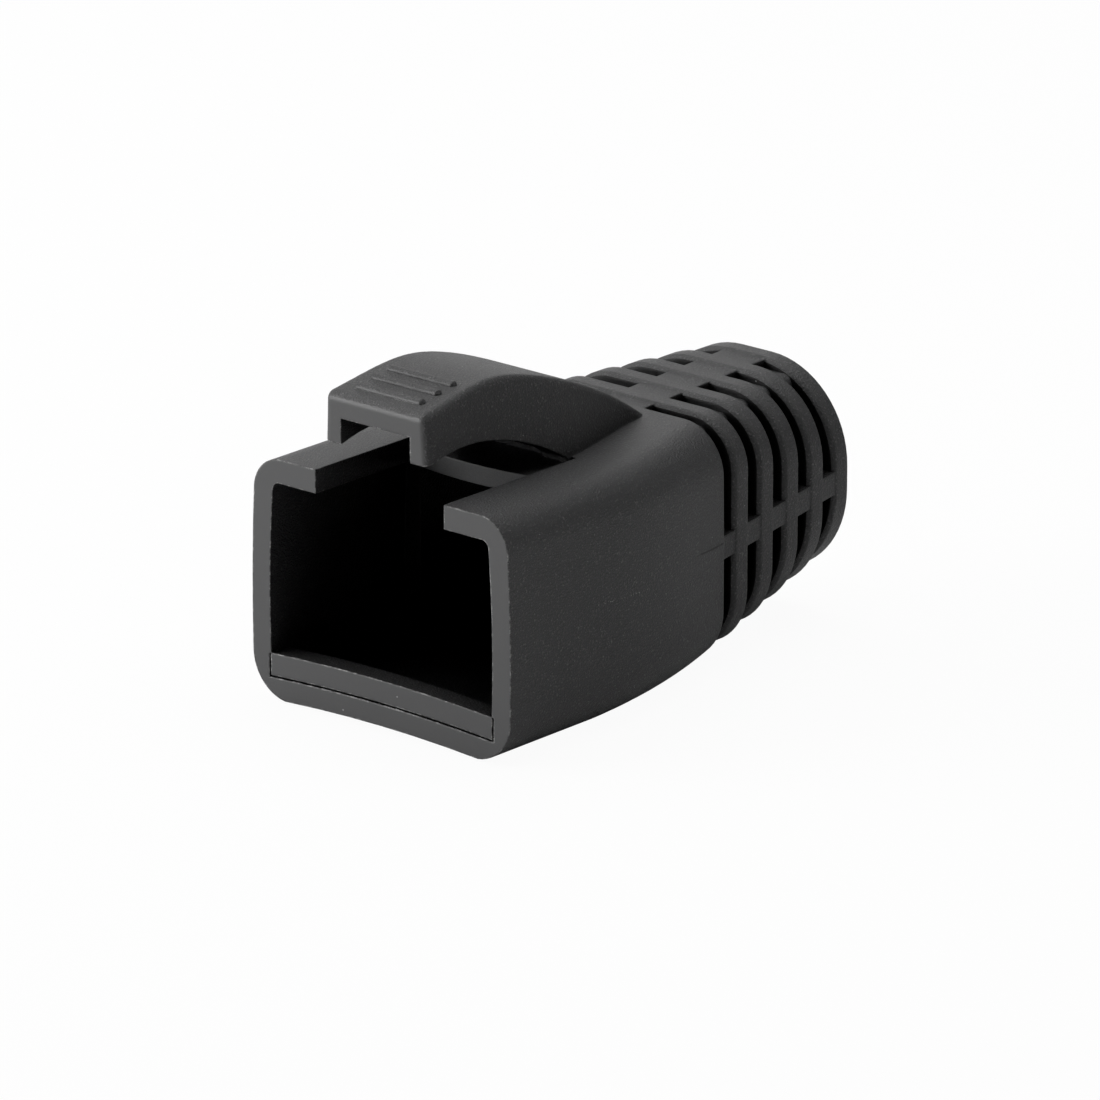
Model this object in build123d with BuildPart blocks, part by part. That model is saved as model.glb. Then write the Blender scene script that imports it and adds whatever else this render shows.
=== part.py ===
from build123d import *
import os

# Strain relief boot for an eight-way modular plug, moulded in one soft piece.
# X runs across the boot, Y runs from the plug opening back to the cable end, Z is up.
# The origin is in the middle of the front opening's plane, at the level that the boot rests on.
# Sizes are in millimetres.

# Housing, which slips over the back of the plug
housing_width = 14.0
housing_height = 10.35
housing_length = 14.9
straight_length = 6.0
rear_width = 11.15
side_bow = 0.22
hollow_width = 10.8
hollow_depth = 0.19
hollow_length = 4.6
front_top_corner = 1.5
front_bottom_corner = 1.95
rear_top_corner = 2.1
rear_bottom_corner = 2.5

# Walls and the cavity that takes the plug
side_wall = 0.97
top_wall = 1.02
floor_wall = 1.05
cavity_depth = 8.2
cavity_corner = 0.35
shoulder = 0.9
throat_corner = 0.8

# Sill that holds the plug in, with the witness line of its mould insert
sill_height = 1.0
sill_depth = 1.0
sill_crown = 0.2
witness_width = 0.09
witness_depth = 0.25

# Slot in the top wall for the plug's latch, and the shallow recess behind it
slot_width = 6.94
slot_length = 5.6
slot_end_bow = 0.4
recess_length = 2.45
recess_depth = 0.2

# Ringed tail that bends with the cable
ring_count = 5
ring_thickness = 1.03
ring_gap = 0.75
ring_depth = 0.45
ring_bevel = 0.16
tail_end_width = 9.8
tail_end_height = 9.32
tail_end_corner = 4.3
tail_rise = 0.84
spine_height = 1.0
ridge_width = 2.2
ridge_sunk = 0.08
spine_sunk = 0.05
web_front_width = 8.4
web_rear_width = 4.9
web_edge_radius = 0.5

# Way through for the cable
bore_diameter = 7.0
bore_step = 0.15
cone_lead = 1.0
cone_drop = 0.1

# Hood that guards the latch: a springy lever rooted on top of the housing
hood_front_width = 5.6
hood_root_width = 6.46
hood_tip_width = 3.72
hood_draft = 0.2
hood_front_draft = 0.04
hood_top_wall = 1.03
hood_channel_width = 3.72
hood_foot_gap = 1.45
hood_front_height = 3.58
hood_crest_height = 4.12
hood_crest_place = 4.1
hood_root_start = 7.8
hood_length = 14.3
hood_overhang = 0.2
hood_lean = 0.15
hood_edge_radius = 0.35
hood_front_edge = 0.4
grip_count = 3
grip_pitch = 0.94
grip_place = 0.72
grip_length = 3.66
grip_radius = 0.2
grip_sunk = 0.03

# Worked out from the sizes above
ring_pitch = ring_thickness + ring_gap
tail_length = ring_count * ring_pitch
boot_length = housing_length + tail_length
tail_front_middle = housing_height / 2
tail_end_middle = tail_front_middle + tail_rise
cavity_top = housing_height - top_wall
slot_half = slot_width / 2
sunk = 0.25


def across(y):
    """Plane of a section across the boot, y behind the opening, extruding backwards."""
    return Plane(origin=(0, y, 0), x_dir=(-1, 0, 0), z_dir=(0, 1, 0))


def blend(first, last, share):
    """Value that lies the given share of the way from first to last."""
    return first + (last - first) * share


def bowed_section(y, width, bottom, top, bottom_corner, top_corner, bow):
    """Section with flat top and bottom, sides that bow out to the width, and round corners."""
    half = width / 2
    low, high = half - bow / 3, half - bow
    waist = blend(bottom, top, 0.42)
    with BuildSketch(across(y)) as section:
        with BuildLine():
            Line((-low, bottom), (low, bottom))
            ThreePointArc((low, bottom), (half, waist), (high, top))
            Line((high, top), (-high, top))
            ThreePointArc((-high, top), (-half, waist), (-low, bottom))
        make_face()
        rows = section.vertices().group_by(Axis.Y)
        fillet(rows[0], bottom_corner)
        fillet(section.vertices().group_by(Axis.Y)[-1], top_corner)
    return section.sketch


def oval_section(y, width, height, middle, top_corner, bottom_corner):
    """Rectangle about the cable's line at that height, with round corners."""
    with BuildSketch(across(y)) as section:
        with Locations((0, middle)):
            Rectangle(width, height)
        fillet(section.vertices().group_by(Axis.Y)[0], bottom_corner)
        fillet(section.vertices().group_by(Axis.Y)[-1], top_corner)
    return section.sketch


def housing_section(y):
    """Outside of the housing: straight at the front, then drawn in along an arc."""
    share = max(0.0, (y - straight_length) / (housing_length - straight_length))
    return bowed_section(
        y,
        blend(housing_width, rear_width, share**2),
        0,
        housing_height,
        blend(front_bottom_corner, rear_bottom_corner, share),
        blend(front_top_corner, rear_top_corner, share),
        blend(side_bow, side_bow / 3, share),
    )


def tail_size(y):
    """Width, height, middle, top corner and bottom corner of the tail's outside there."""
    share = (y - housing_length) / tail_length
    return (
        blend(rear_width, tail_end_width, share),
        blend(housing_height, tail_end_height, share),
        blend(tail_front_middle, tail_end_middle, share),
        blend(rear_top_corner, tail_end_corner, share**1.4),
        blend(rear_bottom_corner, tail_end_corner, share),
    )


def hood_half(y, z):
    """Half the hood's width at a place and height; its sides draw in upwards."""
    front = hood_front_width / 2 + hood_front_draft * hood_foot_gap
    root = hood_root_width / 2
    tip = hood_tip_width / 2
    if y < hood_root_start:
        share = max(y, 0) / hood_root_start
        base = blend(front, root, share)
        draft = blend(hood_front_draft, hood_draft, share)
    else:
        share = (y - hood_root_start) / (hood_length - hood_root_start)
        base = blend(root, tip, share)
        draft = hood_draft
    return base - draft * (z - housing_height)


hood_top = housing_height + hood_crest_height
hood_front_top = housing_height + hood_front_height
foot_level = housing_height + hood_foot_gap
front_face = -hood_overhang
drop_run = hood_length - hood_crest_place

# The hood's back, from its front edge over the crest and down to the housing
hood_back = [
    (front_face - hood_lean + 0.1, hood_front_top),
    (hood_crest_place * 0.4, blend(hood_front_top, hood_top, 0.55)),
    (hood_crest_place, hood_top),
    (hood_crest_place + drop_run * 0.23, hood_top - hood_crest_height * 0.1),
    (hood_crest_place + drop_run * 0.5, hood_top - hood_crest_height * 0.335),
    (hood_crest_place + drop_run * 0.81, hood_top - hood_crest_height * 0.7),
    (hood_length, housing_height),
]
# The arched lower edge of its side skirts, from the root forward to the foot
hood_arch = [
    (hood_root_start, housing_height),
    (hood_root_start * 0.68, blend(housing_height, foot_level, 0.87)),
    (hood_root_start * 0.35, foot_level + 0.36),
    (front_face, foot_level),
]
# The ceiling of the channel that the latch lies in
hood_ceiling = [(y, z - hood_top_wall) for y, z in hood_back[:5]]

with BuildPart() as hood:
    # side view of the lever
    with BuildSketch(Plane.YZ):
        with BuildLine():
            Spline(*hood_back)
            Line(hood_back[-1], (hood_length, housing_height - sunk))
            Line((hood_length, housing_height - sunk), (hood_root_start, housing_height - sunk))
            Line((hood_root_start, housing_height - sunk), hood_arch[0])
            Spline(*hood_arch)
            Line(hood_arch[-1], hood_back[0])
        side_view = make_face()
        brow = side_view.vertices().filter_by(lambda v: v.Y > foot_level + 1)
        fillet(brow.sort_by(Axis.X)[0], hood_front_edge)
    extrude(amount=housing_width / 2, both=True)
    # sides that widen towards the root, then narrow to the tip
    waist = blend(hood_root_start, hood_length, 0.5)
    places = [-1.0, hood_root_start * 0.2, hood_root_start * 0.5]
    places += [hood_root_start, waist, hood_length + 0.3]
    for level in (housing_height - 2 * sunk, hood_top + 1):
        side = [(hood_half(y, level), y) for y in places]
        with BuildSketch(Plane.XY.offset(level)):
            with BuildLine():
                Spline(*side)
                Line(side[-1], (-side[-1][0], side[-1][1]))
                Spline(*[(-x, y) for x, y in reversed(side)])
                Line((-side[0][0], side[0][1]), side[0])
            make_face()
    loft(mode=Mode.INTERSECT)
    # rounded edges along the top
    crown = hood.edges().filter_by(
        lambda e: e.center().Z > hood_front_top - 0.6
        and abs(e.center().X) > hood_tip_width / 4
        and e.length > hood_length / 2
    )
    fillet(crown, hood_edge_radius)
    # channel for the latch
    with BuildSketch(Plane.YZ):
        with BuildLine():
            ceiling = Spline(*hood_ceiling)
            Line(ceiling @ 1, ((ceiling @ 1).X, housing_height - 2 * sunk))
            Line(
                ((ceiling @ 1).X, housing_height - 2 * sunk),
                (-1, housing_height - 2 * sunk),
            )
            Line((-1, housing_height - 2 * sunk), (-1, hood_ceiling[0][1]))
            Line((-1, hood_ceiling[0][1]), ceiling @ 0)
        make_face()
    extrude(amount=hood_channel_width / 2, both=True, mode=Mode.SUBTRACT)

rings = []
for i in range(ring_count):
    y = housing_length + ring_gap + i * ring_pitch
    with BuildPart() as ring:
        add(oval_section(y, *tail_size(y + ring_thickness / 2)))
        extrude(amount=ring_thickness, dir=(0, 1, 0))
        chamfer(ring.faces().filter_by(Axis.Y).edges(), ring_bevel)
    rings.append(ring.part)

# grip ribs across the hood, round-ended, each lying along its back
with BuildLine(Plane.YZ) as back:
    Spline(*hood_back)
grips = []
for i in range(grip_count):
    y = grip_place + i * grip_pitch
    along = [back.line @ (n / 400) for n in range(200)]
    seat = min(along, key=lambda point: abs(point.Y - y))
    with BuildPart(Plane((0, seat.Y, seat.Z - grip_sunk))) as grip:
        Cylinder(grip_radius, grip_length, rotation=(0, 90, 0))
        chamfer(grip.faces().filter_by(Axis.X).edges(), grip_radius * 0.6)
    grips.append(grip.part)

with BuildPart() as boot:
    # housing: a straight front, then sides that draw in to the tail
    add(housing_section(0))
    extrude(amount=straight_length, dir=(0, 1, 0))
    for step in range(4):
        add(housing_section(blend(straight_length, housing_length, step / 3)))
    loft()
    # shallow hollow under the front edge
    hollow_radius = hollow_width**2 / 8 / hollow_depth + hollow_depth / 2
    hollow_run = Vector(0, hollow_length, -hollow_depth)
    hollow_axis = hollow_depth - hollow_radius * hollow_run.length / hollow_length
    with BuildSketch(Plane((0, 0, hollow_axis), x_dir=(-1, 0, 0), z_dir=hollow_run)):
        Circle(hollow_radius)
    extrude(amount=2 * hollow_length, both=True, mode=Mode.SUBTRACT)
    # webs, ridges and spines that carry the rings
    for y in (housing_length - sunk, boot_length - sunk):
        width, height, middle, top_corner, bottom_corner = tail_size(max(y, housing_length))
        web = blend(web_front_width, web_rear_width, (y - housing_length) / tail_length)
        web_height = height - 2 * ring_depth
        add(oval_section(y, web, web_height, middle, web_edge_radius, web_edge_radius))
    loft()
    for y in (housing_length - sunk, boot_length - sunk):
        width, height, middle, top_corner, bottom_corner = tail_size(max(y, housing_length))
        with BuildSketch(across(y)):
            with Locations((0, middle)):
                Rectangle(ridge_width, height - 2 * ridge_sunk)
    loft()
    for y in (housing_length - sunk, boot_length - sunk):
        width, height, middle, top_corner, bottom_corner = tail_size(max(y, housing_length))
        with BuildSketch(across(y)):
            with Locations((0, middle)):
                Rectangle(width - 2 * spine_sunk, spine_height)
    loft()
    add(rings)

    # shallow recess that the latch dips into
    recess_end = slot_length + recess_length
    with BuildSketch(Plane.XY.offset(housing_height - recess_depth)):
        with Locations((0, recess_end / 2)):
            Rectangle(slot_width, recess_end)
    extrude(amount=2 * recess_depth, mode=Mode.SUBTRACT)
    add(hood.part)
    add(grips)

    # cavity for the plug
    cavity_width = housing_width - 2 * side_wall
    add(
        bowed_section(
            0, cavity_width, floor_wall, cavity_top, cavity_corner, cavity_corner, side_bow
        )
    )
    extrude(amount=cavity_depth, dir=(0, 1, 0), mode=Mode.SUBTRACT)
    # throat behind the side shoulders, then a cone down to the last ring
    throat_width = cavity_width - 2 * shoulder
    throat_height = cavity_top - floor_wall
    cone_front = housing_length - cone_lead
    cone_radius = throat_height / 2 - cone_drop
    throat_middle = floor_wall + throat_height / 2
    throat_sizes = (
        (cavity_depth, throat_width, throat_height),
        (cone_front, 2 * cone_radius, 2 * cone_radius),
    )
    for y, width, height in throat_sizes:
        add(oval_section(y, width, height, throat_middle, throat_corner, throat_corner))
    loft(ruled=True, mode=Mode.SUBTRACT)
    last_ring = boot_length - ring_thickness
    cone_run = last_ring - cone_front
    cone_rise = tail_end_middle - throat_middle
    with Locations(Plane((0, cone_front, throat_middle), z_dir=(0, cone_run, cone_rise))):
        Cone(
            cone_radius,
            bore_diameter / 2 + bore_step,
            cone_run - tail_rise / 2,
            align=(Align.CENTER, Align.CENTER, Align.MIN),
            mode=Mode.SUBTRACT,
        )
    with BuildSketch(across(last_ring - tail_rise)):
        with Locations((0, tail_end_middle)):
            Circle(bore_diameter / 2)
    extrude(amount=ring_thickness + tail_rise, mode=Mode.SUBTRACT)

    # latch slot, open to the front, with a bowed end
    with BuildSketch(Plane.XY.offset(cavity_top - 0.3)):
        with BuildLine():
            Line((-slot_half, slot_length), (-slot_half, -1))
            Line((-slot_half, -1), (slot_half, -1))
            Line((slot_half, -1), (slot_half, slot_length))
            ThreePointArc(
                (slot_half, slot_length),
                (0, slot_length - slot_end_bow),
                (-slot_half, slot_length),
            )
        make_face()
    extrude(amount=top_wall + 0.6, mode=Mode.SUBTRACT)

    # sill across the bottom of the opening
    sill_half = cavity_width / 2 + 0.02
    sill_top = floor_wall + sill_height - sill_crown / 2
    with BuildSketch(across(0)):
        with BuildLine():
            Line((-sill_half, floor_wall - 0.1), (sill_half, floor_wall - 0.1))
            Line((sill_half, floor_wall - 0.1), (sill_half, sill_top))
            ThreePointArc(
                (sill_half, sill_top), (0, sill_top + sill_crown), (-sill_half, sill_top)
            )
            Line((-sill_half, sill_top), (-sill_half, floor_wall - 0.1))
        make_face()
    extrude(amount=sill_depth)

    # witness line round the sill, left by the mould's insert
    with BuildSketch(across(0)):
        for grow, mode in ((witness_width / 2, Mode.ADD), (-witness_width / 2, Mode.SUBTRACT)):
            half = sill_half + grow
            low = floor_wall - sill_crown / 2 - grow
            with BuildLine():
                ThreePointArc((-half, low), (0, low + sill_crown), (half, low))
                Polyline((half, low), (half, sill_top), (-half, sill_top), (-half, low))
            make_face(mode=mode)
    extrude(amount=witness_depth, mode=Mode.SUBTRACT)

boot.part.label = "boot"
os.makedirs("parts", exist_ok=True)
export_step(boot.part, "parts/boot.step")
print("solids", len(boot.part.solids()), "volume", round(boot.part.volume, 1))
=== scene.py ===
import math

import bpy
import bmesh
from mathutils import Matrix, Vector

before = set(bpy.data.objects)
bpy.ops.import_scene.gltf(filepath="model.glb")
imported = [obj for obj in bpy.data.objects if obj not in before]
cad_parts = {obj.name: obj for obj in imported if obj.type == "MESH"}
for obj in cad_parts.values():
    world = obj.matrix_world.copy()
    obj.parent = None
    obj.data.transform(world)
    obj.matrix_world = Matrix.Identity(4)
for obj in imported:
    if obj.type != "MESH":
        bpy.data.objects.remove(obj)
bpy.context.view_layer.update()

MM = 0.001

# Where the photograph was taken from, with distances in millimetres. Azimuth 0 looks
# at the front opening, and at the point of aim 1 mm spans PIXELS_PER_MM of the photograph.
VIEW_AZIMUTH = 41.061
VIEW_ELEVATION = 18.545
VIEW_DISTANCE = 376.6
VIEW_AIM = (2.112, 8.0, 6.138)
PIXELS_PER_MM = 24.563
PHOTO_PIXELS = 1100
FOCAL_WIDTHS = PIXELS_PER_MM * VIEW_DISTANCE / PHOTO_PIXELS
SENSOR_WIDTH = 36.0
NEAREST_SEEN = 10.0

# Softboxes: name, azimuth, elevation and power in watts, all of one size and distance
LAMP_AIM = (0, 10, 6)
LAMP_DISTANCE = 250
LAMP_SIZE = 160
LAMPS = (
    ("Key low left", -45, 8, 0.72),
    ("Key left", -45, 30, 0.1),
    ("Top", 0, 88, 0.18),
    ("Rear right", 135, 58, 0.12),
    ("Rear left", -135, 58, 0.15),
    ("Rear rim", -135, 8, 0.09),
    ("Side left", -90, 40, 0.12),
)
AMBIENT = 0.02

# The sheet that the boot stands on, in millimetres
FLOOR_HALF = 600.0
FLOOR_DROP = 0.1
FLOOR_GLOW_SHARE = 0.95

# Colours
PLASTIC = (0.035, 0.035, 0.036, 1)
# lighter grey on the grain's high spots, as painted glints
GRAIN_GLINT_GREY = (0.13, 0.13, 0.13, 1)
# near black: painted shade in the hollows, and the dark of the parting line
SHADE_AND_PARTING_DARK = (0.002, 0.002, 0.002, 1)
FLASH = (0.5, 0.5, 0.49, 1)
DUST = (0.3, 0.3, 0.3, 1)
PAPER = (0.8, 0.8, 0.8, 1)
WHITE = (1.0, 1.0, 1.0, 1.0)

# Finish of the moulding, with sizes in millimetres
ROUGHNESS = 0.5
SPECULAR_LEVEL = 0.55
GRAIN_HEIGHT = 0.08
GRAIN_SIZES = {"Grain size mm": 0.085}
DUST_SIZES = {"Spacing mm": 0.42, "Speck mm": 0.032, "Share": 0.2}
EDGE_SIZES = {
    "Front radius mm": 0.1,
    "Tail radius mm": 0.26,
    "Tail start mm": 14.8,
    "Flash depth mm": 0.5,
}
CUT_FACE_GRAIN = 0.06

# How far the painted shade in the hollows reaches, and the open shares between which it fades
PAINTED_SHADE_REACH = 14.0
PAINTED_SHADE_LEVELS = (0.35, 0.66)

# Marks on the right side: Y and Z of both ends, and the width, in millimetres
SCRATCH = ((4.9, 5.57), (8.8, 5.35), 0.035)
PARTING = ((12.2, 5.72), (14.95, 5.46), 0.06)
PARTING_DARKNESS = 0.4
RIGHT_SIDE_FROM = 4.8


def socket(group, name, kind, out=False):
    """One named input or output of a node group."""
    way = "OUTPUT" if out else "INPUT"
    group.interface.new_socket(name=name, in_out=way, socket_type=kind)


def new_group(name, sizes, outputs, vectors=("Vector",)):
    """A shader node group with named inputs and outputs, and its two end nodes."""
    group = bpy.data.node_groups.new(name, "ShaderNodeTree")
    for vector in vectors:
        socket(group, vector, "NodeSocketVector")
    for size in sizes:
        socket(group, size, "NodeSocketFloat")
    for output, kind in outputs.items():
        socket(group, output, kind, out=True)
    return group, node(group, "NodeGroupInput"), node(group, "NodeGroupOutput")


def link(tree, start, end):
    tree.links.new(start, end)


def node(tree, kind, **values):
    """A node with its plain settings, and its inputs by name or number."""
    made = tree.nodes.new(kind)
    inputs = values.pop("inputs", {})
    for name, value in values.items():
        setattr(made, name, value)
    for name, value in inputs.items():
        made.inputs[name].default_value = value
    return made


def maths(tree, operation, first, second):
    """A math node; first and second are sockets or numbers."""
    made = node(tree, "ShaderNodeMath", operation=operation)
    for place, value in enumerate((first, second)):
        if isinstance(value, (int, float)):
            made.inputs[place].default_value = value
        else:
            link(tree, value, made.inputs[place])
    return made.outputs[0]


def ramp(tree, value, low, high, start=0.0, end=1.0):
    """Smooth step of a value between two levels."""
    made = node(
        tree,
        "ShaderNodeMapRange",
        interpolation_type="SMOOTHSTEP",
        inputs={"From Min": low, "From Max": high, "To Min": start, "To Max": end},
    )
    link(tree, value, made.inputs["Value"])
    return made.outputs["Result"]


def noise(tree, vector, detail, roughness):
    """A noise node on a vector; its scale is set or linked by the caller."""
    made = node(
        tree, "ShaderNodeTexNoise", inputs={"Detail": detail, "Roughness": roughness}
    )
    link(tree, vector, made.inputs["Vector"])
    return made


def vector_maths(tree, operation, first, second=None):
    """A vector math node on one or two sockets."""
    made = node(tree, "ShaderNodeVectorMath", operation=operation)
    link(tree, first, made.inputs[0])
    if second is not None:
        link(tree, second, made.inputs["Scale" if operation == "SCALE" else 1])
    return made.outputs["Value" if operation in ("DOT_PRODUCT", "LENGTH") else "Vector"]


def placed(tree, group, place, sizes):
    """A group in a material, on the piece's own coordinates and with its own sizes."""
    made = node(tree, "ShaderNodeGroup", node_tree=group, inputs=sizes)
    link(tree, place.outputs["Object"], made.inputs["Vector"])
    return made


def grain_group():
    """Fine eroded mould grain: a height for a bump and a mask of its high spots."""
    group, way_in, way_out = new_group(
        "Mould grain",
        ("Grain size mm",),
        {"Height": "NodeSocketFloat", "Peaks": "NodeSocketFloat"},
    )
    pitch = maths(group, "DIVIDE", 1 / MM, way_in.outputs["Grain size mm"])
    fine = noise(group, way_in.outputs["Vector"], detail=2.0, roughness=0.6)
    link(group, pitch, fine.inputs["Scale"])
    link(group, fine.outputs["Fac"], way_out.inputs["Height"])
    link(group, ramp(group, fine.outputs["Fac"], 0.58, 0.72), way_out.inputs["Peaks"])
    return group


def dust_group():
    """Sparse round specks: one in some of the cells of a coarse pattern."""
    group, way_in, way_out = new_group(
        "Dust specks", ("Spacing mm", "Speck mm", "Share"), {"Mask": "NodeSocketFloat"}
    )
    pitch = maths(group, "DIVIDE", 1 / MM, way_in.outputs["Spacing mm"])
    cells = node(group, "ShaderNodeTexVoronoi", feature="F1")
    link(group, way_in.outputs["Vector"], cells.inputs["Vector"])
    link(group, pitch, cells.inputs["Scale"])
    reach = maths(group, "DIVIDE", way_in.outputs["Speck mm"], way_in.outputs["Spacing mm"])
    draws = node(group, "ShaderNodeSeparateColor")
    link(group, cells.outputs["Color"], draws.inputs["Color"])
    picked = maths(group, "LESS_THAN", draws.outputs[0], way_in.outputs["Share"])
    sized = maths(group, "MULTIPLY", reach, draws.outputs[1])
    near = maths(group, "LESS_THAN", cells.outputs["Distance"], sized)
    link(group, maths(group, "MULTIPLY", picked, near), way_out.inputs["Mask"])
    return group


def edge_group():
    """Softly rounded edges, softer on the tail, and a broken line of flash at the front."""
    group, way_in, way_out = new_group(
        "Moulded edges",
        ("Front radius mm", "Tail radius mm", "Tail start mm", "Flash depth mm"),
        {"Normal": "NodeSocketVector", "Flash": "NodeSocketFloat"},
    )
    parts = node(group, "ShaderNodeSeparateXYZ")
    link(group, way_in.outputs["Vector"], parts.inputs[0])
    behind = maths(group, "DIVIDE", parts.outputs["Y"], MM)
    tail = maths(group, "GREATER_THAN", behind, way_in.outputs["Tail start mm"])
    front = maths(group, "LESS_THAN", behind, way_in.outputs["Flash depth mm"])
    radius = node(group, "ShaderNodeMix", data_type="FLOAT")
    link(group, tail, radius.inputs["Factor"])
    link(group, way_in.outputs["Front radius mm"], radius.inputs["A"])
    link(group, way_in.outputs["Tail radius mm"], radius.inputs["B"])
    soft = node(group, "ShaderNodeBevel", samples=4)
    link(group, maths(group, "MULTIPLY", radius.outputs["Result"], MM), soft.inputs["Radius"])
    link(group, soft.outputs["Normal"], way_out.inputs["Normal"])
    # an edge is where the softened normal turns away from the true one
    true = node(group, "ShaderNodeNewGeometry")
    same = vector_maths(group, "DOT_PRODUCT", soft.outputs["Normal"], true.outputs["Normal"])
    near = ramp(group, maths(group, "SUBTRACT", 1.0, same), 0.02, 0.14)
    along = noise(group, way_in.outputs["Vector"], detail=3.0, roughness=0.75)
    along.inputs["Scale"].default_value = 2300.0
    broken = ramp(group, along.outputs["Fac"], 0.44, 0.66)
    flash = maths(group, "MULTIPLY", near, broken)
    link(group, maths(group, "MULTIPLY", flash, front), way_out.inputs["Flash"])
    return group


def line_group():
    """A thin straight mark between two places, fading in at its start and out at its end."""
    group, way_in, way_out = new_group(
        "Line on side", ("Width mm",), {"Mask": "NodeSocketFloat"}, ("Vector", "Start", "End")
    )
    out = vector_maths(group, "SUBTRACT", way_in.outputs["Vector"], way_in.outputs["Start"])
    run = vector_maths(group, "SUBTRACT", way_in.outputs["End"], way_in.outputs["Start"])
    length = vector_maths(group, "DOT_PRODUCT", run, run)
    share = maths(group, "DIVIDE", vector_maths(group, "DOT_PRODUCT", out, run), length)
    foot = vector_maths(group, "SCALE", run, share)
    far = vector_maths(group, "LENGTH", vector_maths(group, "SUBTRACT", out, foot))
    width = maths(group, "MULTIPLY", way_in.outputs["Width mm"], MM)
    near = ramp(group, maths(group, "DIVIDE", far, width), 0.35, 1.0, 1.0, 0.0)
    starts = ramp(group, share, 0.0, 0.2)
    ends = ramp(group, share, 0.85, 1.0, 1.0, 0.0)
    both = maths(group, "MULTIPLY", starts, ends)
    link(group, maths(group, "MULTIPLY", near, both), way_out.inputs["Mask"])
    return group


def side_line(tree, group, place, start, end, width):
    """Mask of one mark on the right side; start and end are Y and Z in millimetres."""
    flat = node(tree, "ShaderNodeVectorMath", operation="MULTIPLY", inputs={1: (0, 1, 1)})
    link(tree, place.outputs["Object"], flat.inputs[0])
    mark = node(
        tree,
        "ShaderNodeGroup",
        node_tree=group,
        inputs={
            "Start": (0, start[0] * MM, start[1] * MM),
            "End": (0, end[0] * MM, end[1] * MM),
            "Width mm": width,
        },
    )
    link(tree, flat.outputs[0], mark.inputs["Vector"])
    parts = node(tree, "ShaderNodeSeparateXYZ")
    link(tree, place.outputs["Object"], parts.inputs[0])
    outer = maths(tree, "GREATER_THAN", parts.outputs["X"], RIGHT_SIDE_FROM * MM)
    return maths(tree, "MULTIPLY", mark.outputs["Mask"], outer)


def tinted(tree, colour, mask, tint):
    """Colour that turns to the tint where the mask is one; both are sockets or plain."""
    mix = node(tree, "ShaderNodeMix", data_type="RGBA")
    link(tree, mask, mix.inputs["Factor"])
    for name, value in (("A", colour), ("B", tint)):
        if isinstance(value, tuple):
            mix.inputs[name].default_value = value
        else:
            link(tree, value, mix.inputs[name])
    return mix.outputs["Result"]


def black_moulding():
    """Soft black plastic with a satin sheen, fine grain with painted glints on its high spots,
    dust, broken flash lines, and painted shade in the hollows.
    """
    material = bpy.data.materials.new("Black soft moulding")
    material.use_nodes = True
    tree = material.node_tree
    shader = tree.nodes["Principled BSDF"]
    place = node(tree, "ShaderNodeTexCoord")
    grain = placed(tree, grain_group(), place, GRAIN_SIZES)
    edges = placed(tree, edge_group(), place, EDGE_SIZES)
    dust = placed(tree, dust_group(), place, DUST_SIZES)

    lines = line_group()
    scratch = side_line(tree, lines, place, *SCRATCH)
    scratch = maths(tree, "MULTIPLY", scratch, grain.outputs["Peaks"])
    parting = side_line(tree, lines, place, *PARTING)

    # painted shade: an occlusion test finds the hollows, where the colour is darkened
    painted_shade_occlusion = node(
        tree,
        "ShaderNodeAmbientOcclusion",
        samples=4,
        only_local=True,
        inputs={"Distance": PAINTED_SHADE_REACH * MM},
    )
    unshaded_share = ramp(tree, painted_shade_occlusion.outputs["AO"], *PAINTED_SHADE_LEVELS)

    # the cut faces at the front are nearly smooth, and the rest has the mould's grain
    true = node(tree, "ShaderNodeNewGeometry")
    facing = node(tree, "ShaderNodeVectorMath", operation="DOT_PRODUCT", inputs={1: (0, -1, 0)})
    link(tree, true.outputs["Normal"], facing.inputs[0])
    grainy = ramp(tree, facing.outputs["Value"], 0.8, 0.95, 1.0, CUT_FACE_GRAIN)

    # painted glints: the grain's high spots, away from the cut faces, are tinted lighter
    painted_glint_spots = maths(tree, "MULTIPLY", grain.outputs["Peaks"], grainy)
    colour = tinted(tree, PLASTIC, painted_glint_spots, GRAIN_GLINT_GREY)
    colour = tinted(tree, colour, maths(tree, "MULTIPLY", parting, PARTING_DARKNESS), SHADE_AND_PARTING_DARK)
    # painted shade: the colour turns to near black in the hollows
    colour = tinted(tree, SHADE_AND_PARTING_DARK, unshaded_share, colour)
    colour = tinted(tree, colour, scratch, FLASH)
    colour = tinted(tree, colour, edges.outputs["Flash"], FLASH)
    colour = tinted(tree, colour, dust.outputs["Mask"], DUST)
    link(tree, colour, shader.inputs["Base Color"])
    shader.inputs["Roughness"].default_value = ROUGHNESS
    shader.inputs["Specular IOR Level"].default_value = SPECULAR_LEVEL
    # painted shade: a nearly black metal has no sheen, so turning the hollows to metal takes
    # the sheen out of them
    link(tree, maths(tree, "SUBTRACT", 1.0, unshaded_share), shader.inputs["Metallic"])

    height = maths(tree, "MULTIPLY", grain.outputs["Height"], grainy)
    height = maths(tree, "SUBTRACT", height, parting)
    bump = node(
        tree, "ShaderNodeBump", inputs={"Strength": 1.0, "Distance": GRAIN_HEIGHT * MM}
    )
    link(tree, height, bump.inputs["Height"])
    link(tree, edges.outputs["Normal"], bump.inputs["Normal"])
    link(tree, bump.outputs["Normal"], shader.inputs["Normal"])
    return material


def mixed_shader(tree, share, first, second, end):
    """Mixes two shaders by a share, into an output."""
    mix = node(tree, "ShaderNodeMixShader")
    link(tree, share, mix.inputs["Fac"])
    link(tree, first.outputs[0], mix.inputs[1])
    link(tree, second.outputs[0], mix.inputs[2])
    link(tree, mix.outputs[0], end.inputs["Surface"])


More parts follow.
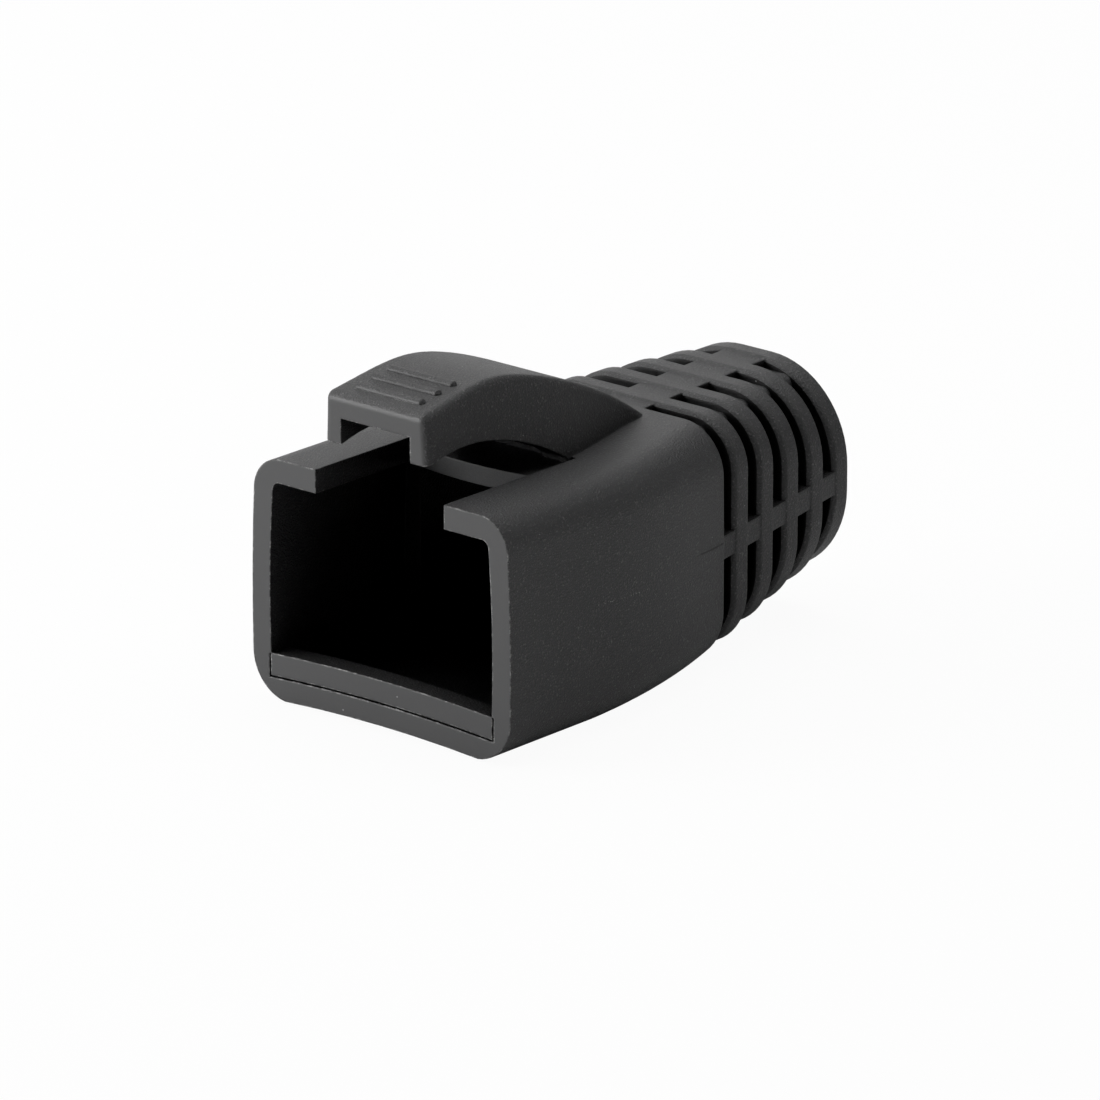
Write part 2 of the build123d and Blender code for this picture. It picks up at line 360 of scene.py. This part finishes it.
def paper_floor():
    """White sheet; the camera sees it white, with the object's own faint shadow kept."""
    material = bpy.data.materials.new("White paper sweep")
    material.use_nodes = True
    tree = material.node_tree
    shader = tree.nodes["Principled BSDF"]
    shader.inputs["Base Color"].default_value = PAPER
    shader.inputs["Roughness"].default_value = 0.95
    shader.inputs["Specular IOR Level"].default_value = 0.1
    glow = node(tree, "ShaderNodeEmission", inputs={"Color": WHITE, "Strength": 1.0})
    path = node(tree, "ShaderNodeLightPath")
    share = maths(tree, "MULTIPLY", path.outputs["Is Camera Ray"], FLOOR_GLOW_SHARE)
    mixed_shader(tree, share, shader, glow, tree.nodes["Material Output"])
    return material


def add_floor():
    mesh = bpy.data.meshes.new("Floor")
    form = bmesh.new()
    bmesh.ops.create_grid(form, x_segments=1, y_segments=1, size=FLOOR_HALF * MM)
    form.to_mesh(mesh)
    form.free()
    floor = bpy.data.objects.new("Floor", mesh)
    floor.location = (0, 0, -FLOOR_DROP * MM)
    bpy.context.scene.collection.objects.link(floor)
    mesh.materials.append(paper_floor())


def add_aimed(name, data, azimuth, elevation, distance, aim):
    """An object that looks at the aim from its azimuth, elevation and distance."""
    turn = math.radians(azimuth)
    lift = math.radians(elevation)
    away = Vector(
        (math.sin(turn) * math.cos(lift), -math.cos(turn) * math.cos(lift), math.sin(lift))
    )
    made = bpy.data.objects.new(name, data)
    made.location = (Vector(aim) + away * distance) * MM
    made.rotation_euler = (-away).to_track_quat("-Z", "Y").to_euler()
    bpy.context.scene.collection.objects.link(made)
    return made


def add_camera():
    name = "Photograph"
    data = bpy.data.cameras.new(name)
    data.sensor_fit = "HORIZONTAL"
    data.sensor_width = SENSOR_WIDTH
    data.lens = FOCAL_WIDTHS * SENSOR_WIDTH
    data.clip_start = NEAREST_SEEN * MM
    bpy.context.scene.camera = add_aimed(
        name, data, VIEW_AZIMUTH, VIEW_ELEVATION, VIEW_DISTANCE, VIEW_AIM
    )


def add_softbox(name, azimuth, elevation, power):
    """Square soft lamp, its place given round the object like the camera's."""
    data = bpy.data.lights.new(name, "AREA")
    data.shape = "SQUARE"
    data.size = LAMP_SIZE * MM
    data.energy = power
    add_aimed(name, data, azimuth, elevation, LAMP_DISTANCE, LAMP_AIM)


def set_world():
    """Faint even light, and a white backdrop that only the camera sees."""
    world = bpy.data.worlds.new("Studio")
    world.use_nodes = True
    tree = world.node_tree
    ambient = tree.nodes["Background"]
    ambient.inputs["Color"].default_value = WHITE
    ambient.inputs["Strength"].default_value = AMBIENT
    seen = node(tree, "ShaderNodeBackground", inputs={"Color": WHITE, "Strength": 1.0})
    path = node(tree, "ShaderNodeLightPath")
    share = path.outputs["Is Camera Ray"]
    mixed_shader(tree, share, ambient, seen, tree.nodes["World Output"])
    bpy.context.scene.world = world


bpy.context.scene.view_settings.view_transform = "Standard"
set_world()
add_floor()
add_camera()
for name, azimuth, elevation, power in LAMPS:
    add_softbox(name, azimuth, elevation, power)

boot = bpy.data.objects["boot"]
boot.data.materials.clear()
boot.data.materials.append(black_moulding())
